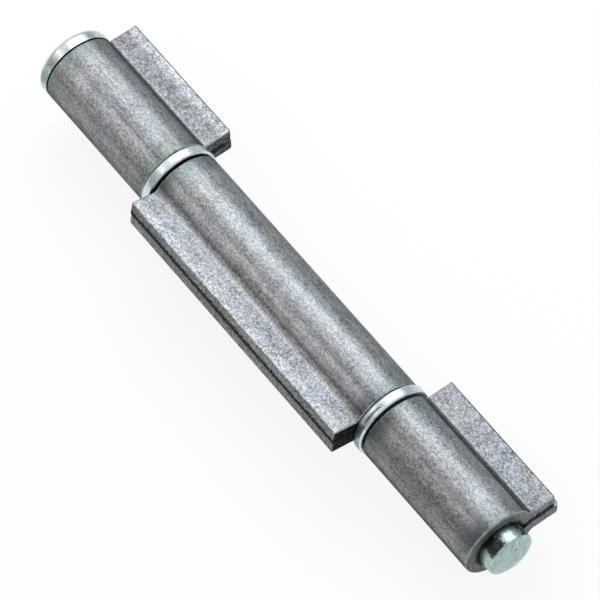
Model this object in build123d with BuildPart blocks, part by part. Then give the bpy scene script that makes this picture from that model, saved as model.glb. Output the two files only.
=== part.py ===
"""Three-section weld-on barrel hinge.

The pin lies along X with its head towards -X, and +Z is up. The origin is on the pin's
axis, halfway along the hinge. The outer leaves reach towards +Y and the middle leaf towards
-Y. Each section is one strip of steel, rolled round the pin, whose two ends are closed flat
on each other and make the leaf. Sizes are in millimetres.
"""
from build123d import *
from math import cos, radians, sin, sqrt
import os

# Pin
pin_diameter = 9.0
tip_reach = 2.9
tip_dome = 1.3
tip_edge_round = 0.5
head_thickness = 2.4
head_edge_round = 1.0
head_crown = 0.35
under_head_round = 0.2

# Rolled strip
strip_thickness = 2.5
seam_gap = 0.35
crease_radius = 0.8
leaf_corner_round = 0.7
outer_edge_round = 0.45

# Sections; each reach runs from the pin's axis to the sheared edge of one layer of the leaf
outer_length = 28.4
middle_length = 58.2
head_leaf_upper_reach = 12.3
head_leaf_lower_reach = 12.4
middle_leaf_upper_reach = 11.75
middle_leaf_lower_reach = 11.45
tip_leaf_upper_reach = 11.8
tip_leaf_lower_reach = 12.45
middle_leaf_lift = 12.0

# Washers
washer_thickness = 2.0
washer_proud = 0.3
washer_edge_round = 0.4
washer_bore_break = 0.2

# Clearances
barrel_clearance = 0.08
washer_clearance = 0.08
head_gap = 0.15
gap_before_washer = 0.1
gap_after_washer = 0.4

# Sizes that follow; the head is as wide as the barrel, and the washers stand a little proud of it
pin_radius = pin_diameter / 2
bore_radius = pin_radius + barrel_clearance
barrel_radius = bore_radius + strip_thickness
head_radius = barrel_radius
washer_radius = barrel_radius + washer_proud
washer_bore_radius = pin_radius + washer_clearance
washer_space = gap_before_washer + washer_thickness + gap_after_washer
stack_length = 2 * outer_length + middle_length + 2 * washer_space
hinge_length = head_crown + head_thickness + head_gap + stack_length + tip_reach + tip_dome

# Stations along the pin, from the head to the tip
head_rim = head_crown - hinge_length / 2
head_underside = head_rim + head_thickness
head_leaf_start = head_underside + head_gap
head_leaf_end = head_leaf_start + outer_length
middle_leaf_start = head_leaf_end + washer_space
middle_leaf_end = middle_leaf_start + middle_length
tip_leaf_start = middle_leaf_end + washer_space
tip_leaf_end = tip_leaf_start + outer_length
tip_shoulder = tip_leaf_end + tip_reach


def cap_radius(half_width, height):
    """Radius of a shallow cap of the given half width and height."""
    return (half_width**2 + height**2) / (2 * height)


def draw_strip_section(upper_reach, lower_reach):
    """Section across a rolled strip, with its leaf along +X and the pin's axis at the origin.

    Each layer of the leaf leaves the barrel through a reverse bend, tangent to the barrel and
    to the flat of the leaf. A small three-cornered hollow stays between the bends and the pin.
    """
    inner_face = seam_gap / 2
    outer_face = inner_face + strip_thickness
    bend_distance = barrel_radius + crease_radius
    bend_height = outer_face + crease_radius
    bend_centre = Vector(sqrt(bend_distance**2 - bend_height**2), bend_height)
    bend_radius = crease_radius + strip_thickness
    flat_start = bend_centre.X
    barrel_x, barrel_y, _ = bend_centre * (barrel_radius / bend_distance)
    bore_x, bore_y, _ = bend_centre * (bore_radius / bend_distance)

    with BuildSketch() as section:
        with BuildLine():
            Polyline(
                (flat_start, inner_face),
                (upper_reach, inner_face),
                (upper_reach, outer_face),
                (flat_start, outer_face),
            )
            RadiusArc((flat_start, outer_face), (barrel_x, barrel_y), crease_radius)
            ThreePointArc((barrel_x, barrel_y), (-barrel_radius, 0), (barrel_x, -barrel_y))
            RadiusArc((barrel_x, -barrel_y), (flat_start, -outer_face), crease_radius)
            Polyline(
                (flat_start, -outer_face),
                (lower_reach, -outer_face),
                (lower_reach, -inner_face),
                (flat_start, -inner_face),
            )
            RadiusArc((flat_start, -inner_face), (bore_x, -bore_y), -bend_radius)
            ThreePointArc((bore_x, -bore_y), (-bore_radius, 0), (bore_x, bore_y))
            RadiusArc((bore_x, bore_y), (flat_start, inner_face), -bend_radius)
        make_face()
    return section.sketch


def roll_strip(plane, length, upper_reach, lower_reach):
    """One section of the hinge: its outline drawn on the plane and carried along the pin.

    The leaf's corners are rounded in plan at the far end and square at the near one. The edges
    that face outwards are eased, because the round of each barrel rim runs on along the leaf,
    and the edges at the seam stay sharp.
    """
    through_leaf = Axis(plane.origin, plane.y_dir)
    along_pin = Axis(plane.origin, plane.z_dir)
    with BuildPart() as strip:
        with BuildSketch(plane):
            add(draw_strip_section(upper_reach, lower_reach))
        extrude(amount=length)
        leaf_corners = strip.edges().filter_by(through_leaf).group_by(along_pin)[-1]
        fillet(leaf_corners, radius=leaf_corner_round)
        barrel_rims = strip.edges().filter_by(GeomType.CIRCLE).group_by(SortBy.RADIUS)[-1]
        fillet(barrel_rims, radius=outer_edge_round)
    return strip


# Leaf at the head end
head_end_leaf = roll_strip(
    Plane.YZ.offset(head_leaf_start), outer_length, head_leaf_upper_reach, head_leaf_lower_reach
)
head_end_leaf.part.label = "head_end_leaf"

# Middle leaf, turned the other way and lifted a little above the outer two
lift = radians(middle_leaf_lift)
middle_plane = Plane(
    origin=(middle_leaf_end, 0, 0),
    x_dir=(0, -cos(lift), sin(lift)),
    z_dir=(-1, 0, 0),
)
middle_leaf = roll_strip(
    middle_plane, middle_length, middle_leaf_upper_reach, middle_leaf_lower_reach
)
middle_leaf.part.label = "middle_leaf"

# Leaf at the tip end
tip_end_leaf = roll_strip(
    Plane.YZ.offset(tip_leaf_start), outer_length, tip_leaf_upper_reach, tip_leaf_lower_reach
)
tip_end_leaf.part.label = "tip_end_leaf"

# Headed pin: crowned head, plain shank and domed tip
with BuildPart() as hinge_pin:
    with BuildSketch(Plane.XZ) as half_pin:
        with BuildLine():
            Line((tip_shoulder + tip_dome, 0), (head_rim - head_crown, 0))
            RadiusArc(
                (head_rim - head_crown, 0),
                (head_rim, head_radius),
                cap_radius(head_radius, head_crown),
            )
            Polyline(
                (head_rim, head_radius),
                (head_underside, head_radius),
                (head_underside, pin_radius),
                (tip_shoulder, pin_radius),
            )
            RadiusArc(
                (tip_shoulder, pin_radius),
                (tip_shoulder + tip_dome, 0),
                cap_radius(pin_radius, tip_dome),
            )
        make_face()
        for corner, corner_round in (
            ((head_rim, head_radius), head_edge_round),
            ((head_underside, pin_radius), under_head_round),
            ((tip_shoulder, pin_radius), tip_edge_round),
        ):
            fillet(half_pin.vertices().sort_by_distance(corner)[0], radius=corner_round)
    revolve(axis=Axis.X)
hinge_pin.part.label = "hinge_pin"


def make_washer(start):
    """A bearing washer with rounded rims, from the given station along the pin."""
    with BuildPart() as washer:
        with BuildSketch(Plane.YZ.offset(start)):
            Circle(washer_radius)
            Circle(washer_bore_radius, mode=Mode.SUBTRACT)
        extrude(amount=washer_thickness)
        rims = washer.edges().filter_by(GeomType.CIRCLE).group_by(SortBy.RADIUS)
        fillet(rims[-1], radius=washer_edge_round)
        chamfer(rims[0], length=washer_bore_break)
    return washer


head_side_washer = make_washer(head_leaf_end + gap_before_washer)
head_side_washer.part.label = "head_side_washer"

tip_side_washer = make_washer(middle_leaf_end + gap_before_washer)
tip_side_washer.part.label = "tip_side_washer"

os.makedirs("parts", exist_ok=True)
for piece in (head_end_leaf, middle_leaf, tip_end_leaf, hinge_pin, head_side_washer, tip_side_washer):
    export_step(piece.part, f"parts/{piece.part.label}.step")
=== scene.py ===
"""Looks of the weld-on barrel hinge: bare rolled steel, zinc plating, studio and camera.

Lengths are in metres, in the hinge's own frame: +X along the pin towards its domed tip, +Y the
way the outer leaves reach, +Z square to the outer leaves.
"""

from math import cos, pi, radians, sin
from types import SimpleNamespace

import bpy
from mathutils import Matrix, Vector


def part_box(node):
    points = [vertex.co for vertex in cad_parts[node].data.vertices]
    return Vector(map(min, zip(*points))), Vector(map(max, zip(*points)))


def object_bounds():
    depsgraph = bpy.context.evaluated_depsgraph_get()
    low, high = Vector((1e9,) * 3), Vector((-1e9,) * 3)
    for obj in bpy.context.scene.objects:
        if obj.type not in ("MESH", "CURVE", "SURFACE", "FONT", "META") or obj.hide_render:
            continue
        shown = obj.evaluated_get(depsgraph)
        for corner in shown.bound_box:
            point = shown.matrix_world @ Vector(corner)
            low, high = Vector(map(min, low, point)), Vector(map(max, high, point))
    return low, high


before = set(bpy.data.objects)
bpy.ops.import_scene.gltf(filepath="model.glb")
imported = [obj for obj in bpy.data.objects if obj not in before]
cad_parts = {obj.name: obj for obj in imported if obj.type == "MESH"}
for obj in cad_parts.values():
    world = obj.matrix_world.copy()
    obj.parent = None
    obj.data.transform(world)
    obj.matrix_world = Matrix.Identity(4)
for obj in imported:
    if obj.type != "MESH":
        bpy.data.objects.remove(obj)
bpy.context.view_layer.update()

scene = bpy.context.scene
scene.view_settings.view_transform = "Standard"

mm = 0.001

# Camera
camera_azimuth = 55.69
camera_elevation = 58.38
camera_roll = -2.89
camera_distance = 0.9283
camera_aim = (0.00117, 0.00206, 0.0)
sensor_width = 36.0
lens_length = 326.6
clip_near = 0.01
clip_far = 20.0

# Floor
floor_drop = 6 * mm
floor_size = 6.0
floor_colour = (0.92, 0.92, 0.92, 1)
floor_glow = 0.86

# Lamps, each with its direction from the hinge, its size and its radiance
lamp_distance = 0.7
key_direction = (-0.436, 0.42, 0.80)
key_size = (0.5, 0.54)
key_radiance = 2.4
key_colour = (0.94, 0.97, 1.0)
fill_direction = (-0.52, -0.49, 0.70)
fill_size = (0.45, 0.13)
fill_radiance = 1.5
fill_colour = (1.0, 0.95, 0.935)

# Room: how light it is in each direction round the pin, in degrees from +Y towards +Z
cool_cast = (0.91, 0.98, 1.07)
warm_cast = (1.03, 0.98, 1.0)
green_cast = (0.97, 1.0, 0.98)
room_shades = (
    (0, 0.52, cool_cast),
    (24, 0.56, cool_cast),
    (45, 0.84, cool_cast),
    (136, 0.84, warm_cast),
    (150, 0.42, warm_cast),
    (166, 0.42, warm_cast),
    (182, 0.6, green_cast),
    (220, 0.7, green_cast),
    (350, 0.56, green_cast),
)

# How far each leaf is turned about the pin from +Y, and sizes that all three sections share
outer_turn = 0.0
middle_turn = pi - radians(12)
bore_radius = 4.58 * mm
leaf_flat_start = 7.07 * mm

# Stations along the pin
pin_start, pin_end = (corner.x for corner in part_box("hinge_pin"))
head_underside = pin_start + 2.75 * mm
head_middle = pin_start + 1.55 * mm
tip_flank = pin_end - 2.55 * mm
tip_side_washer_middle = sum(corner.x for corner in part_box("tip_side_washer")) / 2

# Grain of all the metal: how large its marks are, and how far the lengthwise ones are drawn out
speckle_size = 0.42 * mm
mottle_size = 2.6 * mm
streak_width = 0.9 * mm
streak_draw = (0.045, 1.0, 1.0)
streak_relief = 0.4
rub_patch = 0.8 * mm

# Bare steel
steel_metallic = 0.85
steel_edge_tint = (0.26, 0.26, 0.26, 1)
steel_roughness = 0.36
steel_roughness_spread = 0.03
added_cut_roughness = 0.15
cool_steel = (0.291, 0.309, 0.322, 1)
warm_steel = (0.302, 0.304, 0.297, 1)
# The leaf's lighter outer margin: painted sheen with some rubbing wear
sheen_and_worn_steel = (0.38, 0.39, 0.40, 1)
rubbed_steel = (0.46, 0.48, 0.49, 1)
tint_patch = 4 * mm
sheen_and_wear_margin = 2.6 * mm
steel_relief = 0.35
steel_relief_depth = 0.02 * mm

# Strength of the steel's marks: what it is on the barrel, and how much the leaf adds to it
steel_speckle = (0.37, 0.15)
steel_mottle = (0.12, 0.05)
steel_streak = (0.14, -0.08)

# Colours laid on the steel: the first two multiply its colour near the ends of the barrel, and the
# other three cover it as painted shade in the crease, round the bore and along the seam
end_tint = (0.76, 0.84, 0.81, 1)
end_patch_colour = (0.42, 0.38, 0.44, 1)
crease_painted_shade = (0.03, 0.033, 0.035, 1)
bore_painted_shade = (0.02, 0.022, 0.022, 1)
seam_painted_shadow = (0.015, 0.017, 0.017, 1)
end_tint_depth = 4.5 * mm
end_tint_ragged = 0.6 * mm
end_patch_half_width = 32
crease_half_width = 0.4 * mm
shade_ragged = 0.12 * mm
bore_shade_strength = 0.85
seam_shadow_strength = 0.9
seam_shadow_ragged = 0.25 * mm

# Zinc plating
pin_zinc = (0.40, 0.53, 0.51, 1)
pin_zinc_clouded = (0.33, 0.45, 0.43, 1)
pin_roughness = 0.26
head_zinc = (0.59, 0.645, 0.635, 1)
washer_zinc = (0.66, 0.745, 0.745, 1)
washer_zinc_clouded = (0.54, 0.635, 0.635, 1)
washer_roughness = 0.28
rubbed_zinc = (0.8, 0.86, 0.86, 1)
speck_colour = (0.10, 0.14, 0.14, 1)
cloud_patch = 1.4 * mm
speck_size = 0.7 * mm
speck_strength = 0.7
rubbed_zinc_strength = 0.5
added_cloud_roughness = 0.08
zinc_speckle = 0.07
zinc_mottle = 0.08
zinc_streak = 0.02
zinc_relief = 0.2
zinc_relief_depth = 0.01 * mm

# Finish of each rolled section. The bands run lengthwise, each with its middle and half width in
# degrees round the pin from the section's leaf, and how much lighter or darker it is; they are
# painted highlight and painted shade on the barrel, with some lengthwise streaks of the strip. The
# leaf tone and the tones of the cut ends and the sheared edges also carry painted shade that
# differs between the sections. The tones of the cut ends and the sheared edges run from dark to
# light.
head_end_finish = SimpleNamespace(
    turn=outer_turn,
    reach=12.35 * mm,
    crease_line=5.8 * mm,
    crease_shade_strength=0.70,
    streaks_and_painted_light=(
        (81, 9, -0.12),
        (110, 4, -0.16),
        (104, 4, 0.12),
        (126, 18, 0.46),
        (157, 12, -0.12),
        (184, 12, -0.15),
    ),
    leaf_tone_and_shade=0.66,
    outer_sheen_and_wear=0.65,
    cut_tones_and_shade=(0.05, 0.22),
    sheared_tones_and_shade=(0.12, 0.24),
    seam_shadow_rise=0.0,
    end_patch_angle=150,
    end_patch_strength=0.0,
)
middle_finish = SimpleNamespace(
    turn=middle_turn,
    reach=11.6 * mm,
    crease_line=5.8 * mm,
    crease_shade_strength=0.25,
    streaks_and_painted_light=(
        (-58, 4, -0.14),
        (-51, 9, 0.16),
        (-38, 6, 0.2),
        (-27, 8, 0.95),
        (-18, 8, -0.3),
    ),
    leaf_tone_and_shade=0.86,
    outer_sheen_and_wear=0.6,
    cut_tones_and_shade=(0.012, 0.06),
    sheared_tones_and_shade=(0.17, 0.40),
    seam_shadow_rise=-0.45 * mm,
    end_patch_angle=-40,
    end_patch_strength=0.8,
)
tip_end_finish = SimpleNamespace(
    turn=outer_turn,
    reach=12.1 * mm,
    crease_line=5.5 * mm,
    crease_shade_strength=0.92,
    streaks_and_painted_light=(
        (152, 22, -0.26),
        (143, 9, -0.22),
        (112, 10, -0.2),
        (192, 18, -0.68),
    ),
    leaf_tone_and_shade=0.74,
    outer_sheen_and_wear=0.0,
    cut_tones_and_shade=(0.18, 0.34),
    sheared_tones_and_shade=(0.10, 0.20),
    seam_shadow_rise=0.6 * mm,
    end_patch_angle=124,
    end_patch_strength=1.0,
)

# Dark marks on the plating: on the pin's tip they are painted reflections, and on the pin's head
# and the washers painted reflection and shade with some smudging. Each has its station along the
# pin, its half width, where it starts and ends in degrees round the pin, and its tone
pin_reflections_and_smudge = (
    (tip_flank, 2 * mm, 96, 148, 0.02),
    (tip_flank, 2 * mm, 36, 62, 0.02),
    (head_middle, 2 * mm, 142, 184, 0.33),
)
washer_shade_and_smudges = (
    (tip_side_washer_middle + 0.1 * mm, 0.25 * mm, 98, 146, 0.2),
    (tip_side_washer_middle, 2 * mm, 164, 230, 0.22),
)
dark_mark_fade = 12
dark_mark_ragged = radians(7)
dark_mark_unevenness = -0.12


def set_camera():
    """A long lens looking down on the hinge, from the tip's end and the middle leaf's side."""
    azimuth, elevation = radians(camera_azimuth), radians(camera_elevation)
    away = Vector((sin(azimuth) * cos(elevation), -cos(azimuth) * cos(elevation), sin(elevation)))
    data = bpy.data.cameras.new("camera")
    data.sensor_width = sensor_width
    data.lens = lens_length
    data.clip_start = clip_near
    data.clip_end = clip_far
    camera = bpy.data.objects.new("camera", data)
    scene.collection.objects.link(camera)
    roll = Matrix.Rotation(radians(camera_roll), 4, "Z")
    turn = away.to_track_quat("Z", "Y").to_matrix().to_4x4() @ roll
    camera.matrix_world = Matrix.Translation(Vector(camera_aim) + away * camera_distance) @ turn
    scene.camera = camera


# Node trees


def add_node(tree, kind, inputs=None, **fields):
    """A node with its fields set, and each given input set to a number or colour, or linked."""
    node = tree.nodes.new(kind)
    for field, value in fields.items():
        setattr(node, field, value)
    for socket, value in (inputs or {}).items():
        if isinstance(value, bpy.types.NodeSocket):
            tree.links.new(value, node.inputs[socket])
        else:
            node.inputs[socket].default_value = value
    return node


def work_out(tree, operation, first, second=0.5, third=0.5):
    """The result of one Math node."""
    inputs = {0: first, 1: second, 2: third}
    return add_node(tree, "ShaderNodeMath", inputs, operation=operation).outputs[0]


def multiply(tree, first, *others):
    """The product of two or more values."""
    for other in others:
        first = work_out(tree, "MULTIPLY", first, other)
    return first


def fade(tree, value, start, end, low=0.0, high=1.0):
    """A smooth step from low to high as the value goes from start to end."""
    step = add_node(
        tree,
        "ShaderNodeMapRange",
        {"Value": value, "From Min": start, "From Max": end, "To Min": low, "To Max": high},
        interpolation_type="SMOOTHSTEP",
    )
    return step.outputs["Result"]


def blend(tree, share, first, second, how="MIX"):
    """Two colours mixed by the given share."""
    mix = add_node(tree, "ShaderNodeMix", {0: share}, data_type="RGBA", blend_type=how)
    for socket, value in ((6, first), (7, second)):
        if isinstance(value, bpy.types.NodeSocket):
            tree.links.new(value, mix.inputs[socket])
        else:
            mix.inputs[socket].default_value = value
    return mix.outputs[2]


def cloud(tree, vector, feature, detail=2.0, roughness=0.55):
    """Noise whose patches are about the given size across."""
    noise = add_node(
        tree,
        "ShaderNodeTexNoise",
        {"Vector": vector, "Scale": 1 / feature, "Detail": detail, "Roughness": roughness},
    )
    return noise.outputs["Fac"]


def split(tree, vector):
    """The X, Y and Z parts of a vector."""
    return add_node(tree, "ShaderNodeSeparateXYZ", {0: vector}).outputs


def band(tree, angle, middle, half_width):
    """A soft lengthwise band, by the angle round the pin, given in degrees."""
    away = work_out(tree, "WRAP", work_out(tree, "SUBTRACT", angle, radians(middle)), pi, -pi)
    return fade(tree, work_out(tree, "ABSOLUTE", away), radians(half_width), 0.0)


def start_group(name, inputs, outputs):
    """A shader node group with float or vector inputs and float outputs."""
    group = bpy.data.node_groups.new(name, "ShaderNodeTree")
    for socket, kind, value in inputs:
        made = group.interface.new_socket(name=socket, in_out="INPUT", socket_type=kind)
        if kind == "NodeSocketFloat":
            made.default_value = value
    for socket in outputs:
        group.interface.new_socket(name=socket, in_out="OUTPUT", socket_type="NodeSocketFloat")
    inlet = group.nodes.new("NodeGroupInput")
    outlet = group.nodes.new("NodeGroupOutput")
    return group, inlet.outputs, outlet.inputs


def use_group(tree, group, **inputs):
    """A node group placed in a material with its own values."""
    return add_node(tree, "ShaderNodeGroup", inputs, node_tree=group).outputs


# Finishes


def make_metal_grain():
    """Speckle, mottling and lengthwise marks of a metal surface: a shade about 1 and a height."""
    group, given, result = start_group(
        "metal_grain",
        (
            ("Place", "NodeSocketVector", None),
            ("Speckle", "NodeSocketFloat", 0.3),
            ("Mottle", "NodeSocketFloat", 0.2),
            ("Streak", "NodeSocketFloat", 0.2),
        ),
        ("Shade", "Height"),
    )
    place = given["Place"]
    drawn = add_node(group, "ShaderNodeMapping", {"Vector": place, "Scale": streak_draw})
    drawn = drawn.outputs["Vector"]
    speckle = fade(group, cloud(group, place, speckle_size, 3.0, 0.72), 0.36, 0.66, -1.0, 1.0)
    mottle = fade(group, cloud(group, place, mottle_size, 3.0, 0.6), 0.3, 0.7, -1.0, 1.0)
    streak = fade(group, cloud(group, drawn, streak_width, 2.0, 0.5), 0.3, 0.7, -1.0, 1.0)
    shade = 1.0
    for mark, strength in ((speckle, "Speckle"), (mottle, "Mottle"), (streak, "Streak")):
        shade = work_out(group, "MULTIPLY_ADD", mark, given[strength], shade)
    height = work_out(group, "MULTIPLY_ADD", streak, streak_relief, speckle)
    group.links.new(work_out(group, "MAXIMUM", shade, 0.05), result["Shade"])
    group.links.new(height, result["Height"])
    return group


def make_edge_rub():
    """Where an edge between a flat and a side face is rubbed bright, by the slope of the normal."""
    group, given, result = start_group(
        "edge_rub",
        (("Slope", "NodeSocketFloat", 0.0), ("Place", "NodeSocketVector", None)),
        ("Mask",),
    )
    rising = fade(group, given["Slope"], 0.12, 0.4)
    falling = fade(group, given["Slope"], 0.6, 0.85, 1.0, 0.0)
    ragged = fade(group, cloud(group, given["Place"], rub_patch, 3.0, 0.6), 0.3, 0.6)
    group.links.new(multiply(group, rising, falling, ragged), result["Mask"])
    return group


def start_material(name):
    """A metal to build on: the material, its nodes, its shader and its texture coordinates."""
    material = bpy.data.materials.new(name)
    material.use_nodes = True
    tree = material.node_tree
    shader = tree.nodes["Principled BSDF"]
    shader.inputs["Metallic"].default_value = 1.0
    return material, tree, shader, tree.nodes.new("ShaderNodeTexCoord").outputs


def emboss(tree, shader, height, strength, distance):
    """Fine relief on the surface from the given height."""
    inputs = {"Height": height, "Strength": strength, "Distance": distance}
    bump = add_node(tree, "ShaderNodeBump", inputs)
    tree.links.new(bump.outputs["Normal"], shader.inputs["Normal"])


def cut_grey(level):
    """A grey with the slightly green cast of cut steel."""
    return (0.95 * level, level, 0.98 * level, 1)


def turn_back(tree, vector, turn):
    """The vector with a turn about the pin taken off."""
    inputs = {"Vector": vector, "Rotation": (-turn, 0, 0)}
    return add_node(tree, "ShaderNodeMapping", inputs).outputs["Vector"]


def survey_section(tree, places, leaf, finish):
    """Where a point lies on a rolled section turned with its leaf to +Y, and on which face."""
    start, end = (corner.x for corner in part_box(leaf))
    along, out, up = split(tree, turn_back(tree, places["Object"], finish.turn))
    facing = split(tree, turn_back(tree, places["Normal"], finish.turn))
    slope_along, slope_out, _ = (work_out(tree, "ABSOLUTE", part) for part in facing)
    from_middle = work_out(tree, "SUBTRACT", along, (start + end) / 2)
    at_edge = fade(tree, out, finish.reach - 1.2 * mm, finish.reach - 0.9 * mm)
    on_leaf = fade(tree, out, leaf_flat_start - 0.3 * mm, leaf_flat_start + 0.3 * mm)
    return SimpleNamespace(
        place=places["Object"],
        out=out,
        up=up,
        angle=work_out(tree, "ARCTAN2", up, out),
        slope_along=slope_along,
        half_length=(end - start) / 2,
        from_middle=work_out(tree, "ABSOLUTE", from_middle),
        on_leaf=on_leaf,
        off_leaf=work_out(tree, "SUBTRACT", 1.0, on_leaf),
        cut_end=fade(tree, slope_along, 0.55, 0.8),
        sheared=multiply(tree, fade(tree, slope_out, 0.3, 0.7), at_edge),
    )


def strength_at(tree, spot, strength):
    """A mark's strength, which differs between the barrel and the leaf."""
    on_barrel, added = strength
    return work_out(tree, "MULTIPLY_ADD", spot.on_leaf, added, on_barrel)


def colour_strip(tree, spot, finish, shade):
    """The rolled strip: mottled steel, a lighter outer margin on the leaf of painted sheen and
    wear, and bands of painted highlight and shade on the barrel.
    """
    tone = finish.leaf_tone_and_shade
    sheen_and_wear = fade(tree, spot.out, finish.reach - sheen_and_wear_margin, finish.reach - 1.2 * mm)
    tint = fade(tree, cloud(tree, spot.place, tint_patch, 3.0), 0.35, 0.65)
    colour = blend(tree, tint, cool_steel, warm_steel)
    # The leaf flats take a darker tone of their own, with painted shade that differs between the
    # sections
    colour = blend(tree, spot.on_leaf, colour, (tone, tone, 1.03 * tone, 1), "MULTIPLY")
    # The leaf's outer margin is lighter: painted sheen where the edge rolls over, with some rubbing
    # wear
    colour = blend(tree, multiply(tree, sheen_and_wear, finish.outer_sheen_and_wear), colour, sheen_and_worn_steel)
    colour = blend(tree, 1.0, colour, shade, "MULTIPLY")
    # Lengthwise bands of painted highlight and painted shade on the barrel, with some streaks of
    # the strip
    streaks_and_painted_light = 1.0
    for middle, half_width, strength in finish.streaks_and_painted_light:
        one_band = band(tree, spot.angle, middle, half_width)
        streaks_and_painted_light = work_out(tree, "MULTIPLY_ADD", one_band, strength, streaks_and_painted_light)
    streaked_and_painted = blend(tree, 1.0, colour, streaks_and_painted_light, "MULTIPLY")
    return blend(tree, spot.on_leaf, streaked_and_painted, colour)


def darken_ends(tree, spot, finish, colour, height):
    """The barrel greener and darker towards both ends, with a darker purple patch on one side."""
    ragged = work_out(tree, "MULTIPLY_ADD", height, end_tint_ragged, spot.from_middle)
    end_tint_start = spot.half_length - end_tint_depth
    near_end = fade(tree, ragged, end_tint_start, spot.half_length - 0.5 * mm)
    tinted_ends = multiply(tree, near_end, spot.off_leaf)
    # A darker purple patch near the ends, on one side of the barrel
    patch = band(tree, spot.angle, finish.end_patch_angle, end_patch_half_width)
    patched = multiply(tree, tinted_ends, finish.end_patch_strength, patch)
    colour = blend(tree, tinted_ends, colour, end_tint, "MULTIPLY")
    return blend(tree, patched, colour, end_patch_colour, "MULTIPLY")


def shade_crease(tree, spot, finish, colour, height):
    """A ragged line of painted shade in the crease between the barrel and its leaf."""
    line = finish.crease_line
    ragged = work_out(tree, "MULTIPLY_ADD", height, shade_ragged, spot.out)
    before = fade(tree, ragged, line - crease_half_width, line)
    after = fade(tree, ragged, line + 0.05 * mm, line + crease_half_width, 1.0, 0.0)
    return blend(tree, multiply(tree, before, after, finish.crease_shade_strength), colour, crease_painted_shade)


def colour_cut_faces(tree, spot, finish, colour, height):
    """Sheared edges of the leaf, and sawn ends, darker towards the pin, with painted shade round
    the bore.
    """
    uneven = fade(tree, height, -0.9, 0.9)
    # Each section's cut and sheared tones are the darker colour of cut steel with painted shade
    # that differs between the sections; the middle leaf's cut ends are painted near black
    sheared_colour = blend(tree, uneven, *(cut_grey(tone) for tone in finish.sheared_tones_and_shade))
    cut_colour = blend(tree, uneven, *(cut_grey(tone) for tone in finish.cut_tones_and_shade))
    towards_leaf = fade(tree, spot.out, 1.5 * mm, 5.5 * mm, 0.8, 1.0)
    cut_colour = blend(tree, 1.0, cut_colour, towards_leaf, "MULTIPLY")
    across = add_node(tree, "ShaderNodeCombineXYZ", {1: spot.out, 2: spot.up}).outputs[0]
    from_pin = add_node(tree, "ShaderNodeVectorMath", {0: across}, operation="LENGTH")
    ragged = work_out(tree, "MULTIPLY_ADD", height, shade_ragged, from_pin.outputs["Value"])
    bore_shade_start, bore_shade_end = bore_radius + 0.2 * mm, bore_radius + 0.9 * mm
    # Painted shade on the end faces round the bore, where the pin leaves it
    at_bore = fade(tree, ragged, bore_shade_start, bore_shade_end, bore_shade_strength, 0.0)
    cut_colour = blend(tree, at_bore, cut_colour, bore_painted_shade)
    colour = blend(tree, spot.sheared, colour, sheared_colour)
    return blend(tree, spot.cut_end, colour, cut_colour)


def shade_seam(tree, spot, finish, colour, height):
    """Painted shadow along the seam, wider than the gap between the layers, where it shows on the
    ends and the edge of the leaf.
    """
    from_seam = work_out(tree, "ABSOLUTE", work_out(tree, "SUBTRACT", spot.up, finish.seam_shadow_rise))
    ragged = work_out(tree, "MULTIPLY_ADD", height, seam_shadow_ragged, from_seam)
    near_seam = fade(tree, ragged, 0.45 * mm, 0.9 * mm, 1.0, 0.0)
    past_bore = fade(tree, spot.out, 5.0 * mm, 5.6 * mm)
    on_cut = work_out(tree, "MAXIMUM", spot.cut_end, spot.sheared)
    seam_shadow = multiply(tree, near_seam, past_bore, on_cut, seam_shadow_strength)
    return blend(tree, seam_shadow, colour, seam_painted_shadow)


def make_bare_steel(leaf, finish, grain, edge_rub):
    """Bare rolled strip: speckled flats, a barrel banded with painted highlight and shade, painted
    shade in the crease, sheared edges, cut ends.
    """
    material, tree, shader, places = start_material(leaf + "_steel")
    shader.inputs["Metallic"].default_value = steel_metallic
    shader.inputs["Specular Tint"].default_value = steel_edge_tint
    spot = survey_section(tree, places, leaf, finish)
    marks = use_group(
        tree,
        grain,
        Place=spot.place,
        Speckle=strength_at(tree, spot, steel_speckle),
        Mottle=strength_at(tree, spot, steel_mottle),
        Streak=strength_at(tree, spot, steel_streak),
    )
    height = marks["Height"]
    rubbed = use_group(tree, edge_rub, Slope=spot.slope_along, Place=spot.place)["Mask"]

    colour = colour_strip(tree, spot, finish, marks["Shade"])
    colour = darken_ends(tree, spot, finish, colour, height)
    colour = shade_crease(tree, spot, finish, colour, height)
    colour = blend(tree, rubbed, colour, rubbed_steel)
    colour = colour_cut_faces(tree, spot, finish, colour, height)
    colour = shade_seam(tree, spot, finish, colour, height)
    tree.links.new(colour, shader.inputs["Base Color"])

    roughness = work_out(tree, "MULTIPLY_ADD", height, steel_roughness_spread, steel_roughness)
    on_cut = work_out(tree, "MAXIMUM", spot.cut_end, spot.sheared)
    roughness = work_out(tree, "MULTIPLY_ADD", on_cut, added_cut_roughness, roughness)
    tree.links.new(roughness, shader.inputs["Roughness"])
    emboss(tree, shader, height, steel_relief, steel_relief_depth)
    return material


def darken_plating(tree, colour, dark_mark, along, angle, masks):
    """A dark mark near its station, from one angle round the pin to another: painted reflection and
    shade, with some smudging.
    """
    station, half_width, start, end, tone = dark_mark
    begins = fade(tree, angle, radians(start), radians(start + dark_mark_fade))
    ends = fade(tree, angle, radians(end - dark_mark_fade), radians(end), 1.0, 0.0)
    nearby = work_out(tree, "COMPARE", along, station, half_width)
    share = multiply(tree, begins, ends, nearby, *masks)
    return blend(tree, share, colour, (0.65 * tone, tone, tone, 1))


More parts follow.
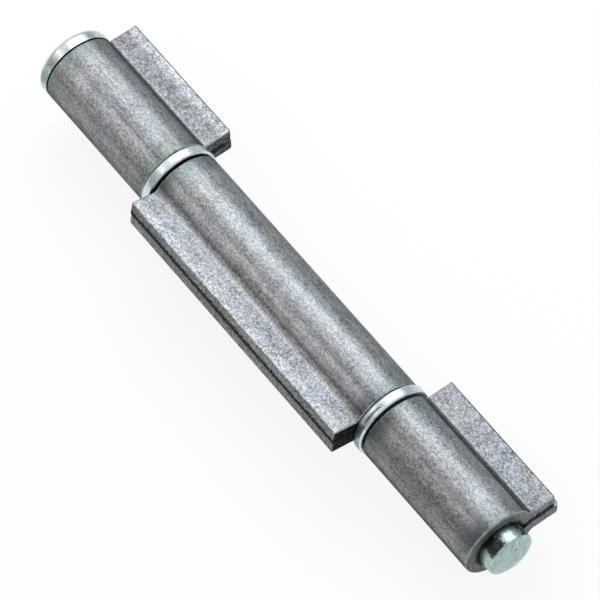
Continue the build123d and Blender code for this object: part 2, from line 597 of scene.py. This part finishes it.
def make_zinc_plating(name, zinc, clouded_zinc, roughness, dark_marks, grain, edge_rub):
    """Bright zinc plating with a cool tint, a little clouded and specked, with dark marks of
    painted reflection and shade and some smudging.
    """
    material, tree, shader, places = start_material(name)
    place = places["Object"]
    along, out, up = split(tree, place)
    slope = work_out(tree, "ABSOLUTE", split(tree, places["Normal"])[0])
    marks = use_group(
        tree, grain, Place=place, Speckle=zinc_speckle, Mottle=zinc_mottle, Streak=zinc_streak
    )
    height = marks["Height"]
    clouded = fade(tree, cloud(tree, place, cloud_patch, 3.0), 0.35, 0.7)
    on_head = work_out(tree, "LESS_THAN", along, head_underside)
    specks = fade(tree, cloud(tree, place, speck_size, 1.0), 0.66, 0.72, 0.0, speck_strength)
    rubbed = use_group(tree, edge_rub, Slope=slope, Place=place)["Mask"]

    colour = blend(tree, clouded, zinc, clouded_zinc)
    colour = blend(tree, on_head, colour, head_zinc)
    colour = blend(tree, 1.0, colour, marks["Shade"], "MULTIPLY")
    colour = blend(tree, specks, colour, speck_colour)
    angle = work_out(tree, "WRAP", work_out(tree, "ARCTAN2", up, out), 2 * pi, 0.0)
    angle = work_out(tree, "MULTIPLY_ADD", height, dark_mark_ragged, angle)
    on_side = fade(tree, slope, 0.15, 0.5, 1.0, 0.0)
    patchy = work_out(tree, "MULTIPLY_ADD", clouded, dark_mark_unevenness, 1.0)
    for dark_mark in dark_marks:
        colour = darken_plating(tree, colour, dark_mark, along, angle, (on_side, patchy))
    colour = blend(tree, multiply(tree, rubbed, rubbed_zinc_strength), colour, rubbed_zinc)
    tree.links.new(colour, shader.inputs["Base Color"])

    dulled = work_out(tree, "MULTIPLY_ADD", clouded, added_cloud_roughness, roughness)
    tree.links.new(dulled, shader.inputs["Roughness"])
    emboss(tree, shader, height, zinc_relief, zinc_relief_depth)
    return material


# Studio


def lay_floor():
    """A pale floor that takes light and shadow, with a white glow of its own where it is seen."""
    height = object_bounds()[0].z - floor_drop
    half = floor_size / 2
    mesh = bpy.data.meshes.new("floor")
    plan = ((-half, -half), (half, -half), (half, half), (-half, half))
    mesh.from_pydata([(x, y, height) for x, y in plan], [], [(0, 1, 2, 3)])
    floor = bpy.data.objects.new("floor", mesh)
    scene.collection.objects.link(floor)
    paint = bpy.data.materials.new("floor")
    paint.use_nodes = True
    tree = paint.node_tree
    shader = tree.nodes["Principled BSDF"]
    shader.inputs["Base Color"].default_value = floor_colour
    shader.inputs["Roughness"].default_value = 1.0
    shader.inputs["Specular IOR Level"].default_value = 0.0
    rays = tree.nodes.new("ShaderNodeLightPath").outputs
    seen = work_out(tree, "MAXIMUM", rays["Is Camera Ray"], rays["Is Glossy Ray"])
    seen = work_out(tree, "MAXIMUM", seen, rays["Is Transmission Ray"])
    glow = add_node(tree, "ShaderNodeEmission", {"Color": (1, 1, 1, 1), "Strength": 1.0})
    mix = add_node(tree, "ShaderNodeMixShader", {0: multiply(tree, seen, floor_glow)})
    tree.links.new(shader.outputs[0], mix.inputs[1])
    tree.links.new(glow.outputs[0], mix.inputs[2])
    tree.links.new(mix.outputs[0], tree.nodes["Material Output"].inputs["Surface"])
    mesh.materials.append(paint)


def hang_softbox(name, direction, size, radiance, colour):
    """A soft rectangular lamp in the given direction from the hinge, its first side along X."""
    direction = Vector(direction).normalized()
    lamp = bpy.data.lights.new(name, "AREA")
    lamp.shape = "RECTANGLE"
    lamp.size, lamp.size_y = size
    lamp.color = colour
    lamp.energy = radiance * pi * size[0] * size[1]
    holder = bpy.data.objects.new(name, lamp)
    across = Vector((1, 0, 0))
    across = (across - direction * across.dot(direction)).normalized()
    up = direction.cross(across)
    turn = Matrix((across, up, direction)).transposed().to_4x4()
    holder.matrix_world = Matrix.Translation(direction * lamp_distance) @ turn
    scene.collection.objects.link(holder)


def shade_room():
    """A dim room round the lamps, shaded and tinted by the direction round the pin."""
    world = bpy.data.worlds.new("studio")
    world.use_nodes = True
    tree = world.node_tree
    toward = split(tree, tree.nodes.new("ShaderNodeTexCoord").outputs["Generated"])
    round_pin = work_out(tree, "ARCTAN2", toward["Z"], toward["Y"])
    turn = work_out(tree, "FRACT", work_out(tree, "DIVIDE", round_pin, 2 * pi))
    ramp = add_node(tree, "ShaderNodeValToRGB", {0: turn})
    stops = ramp.color_ramp.elements
    for number, (angle, shade, cast) in enumerate(room_shades):
        stop = stops[number] if number < len(stops) else stops.new(angle / 360)
        stop.position = angle / 360
        stop.color = [shade * part for part in cast] + [1.0]
    tree.links.new(ramp.outputs["Color"], tree.nodes["Background"].inputs["Color"])
    scene.world = world


def dress(name, material):
    """Gives a piece its material."""
    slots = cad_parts[name].data.materials
    slots.clear()
    slots.append(material)


set_camera()
lay_floor()
hang_softbox("key", key_direction, key_size, key_radiance, key_colour)
hang_softbox("fill", fill_direction, fill_size, fill_radiance, fill_colour)
shade_room()

metal_grain = make_metal_grain()
edge_rub = make_edge_rub()
dress("head_end_leaf", make_bare_steel("head_end_leaf", head_end_finish, metal_grain, edge_rub))
dress("middle_leaf", make_bare_steel("middle_leaf", middle_finish, metal_grain, edge_rub))
dress("tip_end_leaf", make_bare_steel("tip_end_leaf", tip_end_finish, metal_grain, edge_rub))
pin_plating = make_zinc_plating(
    "pin_plating", pin_zinc, pin_zinc_clouded, pin_roughness, pin_reflections_and_smudge, metal_grain, edge_rub
)
washer_plating = make_zinc_plating(
    "washer_plating",
    washer_zinc,
    washer_zinc_clouded,
    washer_roughness,
    washer_shade_and_smudges,
    metal_grain,
    edge_rub,
)
dress("hinge_pin", pin_plating)
dress("head_side_washer", washer_plating)
dress("tip_side_washer", washer_plating)
